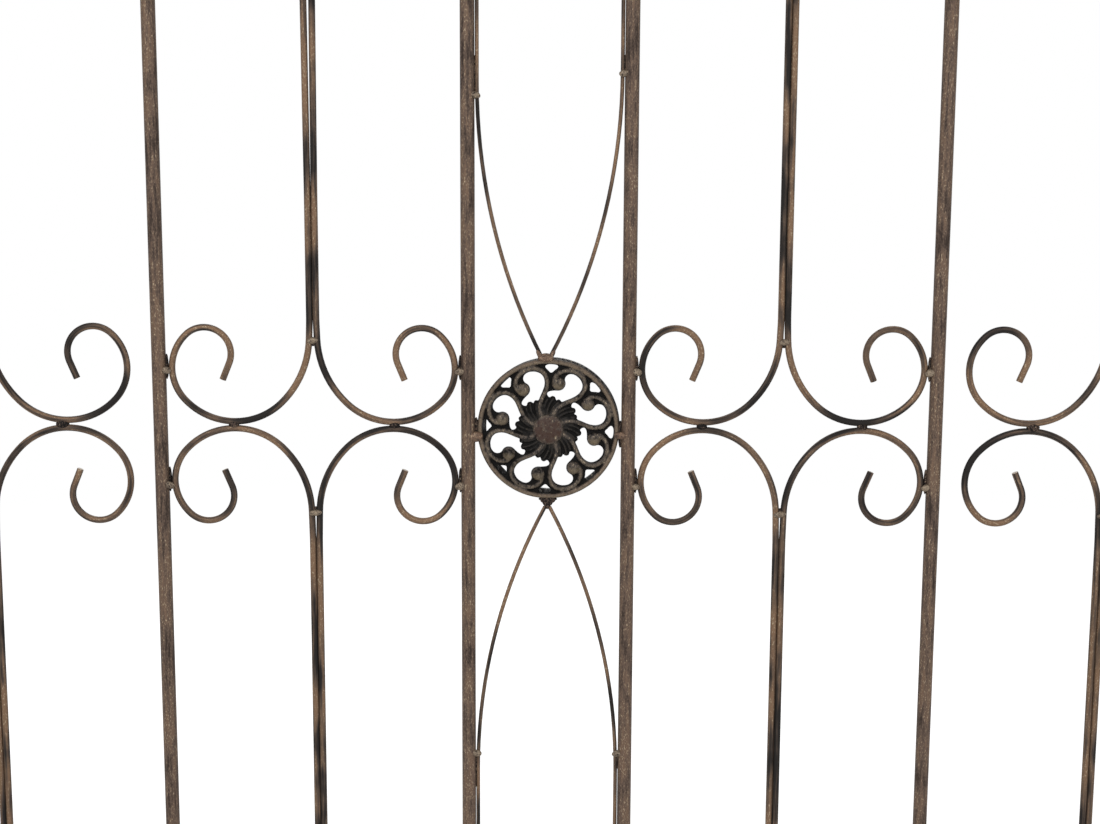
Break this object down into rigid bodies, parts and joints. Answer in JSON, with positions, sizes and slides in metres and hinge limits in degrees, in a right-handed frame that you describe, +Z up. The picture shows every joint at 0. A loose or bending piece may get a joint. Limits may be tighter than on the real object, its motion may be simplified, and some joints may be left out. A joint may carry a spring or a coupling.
{
  "type": "metal garden fence panel",
  "caption": "Open garden fence panel: square end posts on bolted plates, two rails, round bars, bays of bent wire scrolls and a cast swirl rosette between thin lancet wires.",
  "frame": {"origin": "middle of the left base plate's underside, where the panel is bolted to the ground", "axes": "+X along the panel to the right post, +Y from the front to the back, +Z up"},
  "size_m": [1.3729, 0.08, 1.137],
  "materials": {
    "bronze_steel": "dark antique bronze paint with rubbed streaks",
    "cast_iron": "dark antique bronze paint on a casting",
    "weld_metal": "dark antique bronze paint on weld beads"
  },
  "bodies": {
    "root": {"bottom_rail": "bronze_steel", "inner_left_bar": "bronze_steel", "inner_left_bay_left_scrolls": "bronze_steel", "inner_left_bay_right_scrolls": "bronze_steel", "inner_right_bar": "bronze_steel", "inner_right_bay_left_scrolls": "bronze_steel", "inner_right_bay_right_scrolls": "bronze_steel", "left_base_plate": "bronze_steel", "left_post": "bronze_steel", "left_post_cap": "bronze_steel", "lower_left_lancet": "bronze_steel", "lower_right_lancet": "bronze_steel", "outer_left_bar": "bronze_steel", "outer_left_bay_left_scrolls": "bronze_steel", "outer_left_bay_right_scrolls": "bronze_steel", "outer_right_bar": "bronze_steel", "outer_right_bay_left_scrolls": "bronze_steel", "outer_right_bay_right_scrolls": "bronze_steel", "right_base_plate": "bronze_steel", "right_post": "bronze_steel", "right_post_cap": "bronze_steel", "rosette": "cast_iron", "rosette_hoop": "bronze_steel", "rosette_welds": "weld_metal", "top_rail": "bronze_steel", "upper_left_lancet": "bronze_steel", "upper_right_lancet": "bronze_steel"}
  },
  "joints": []
}
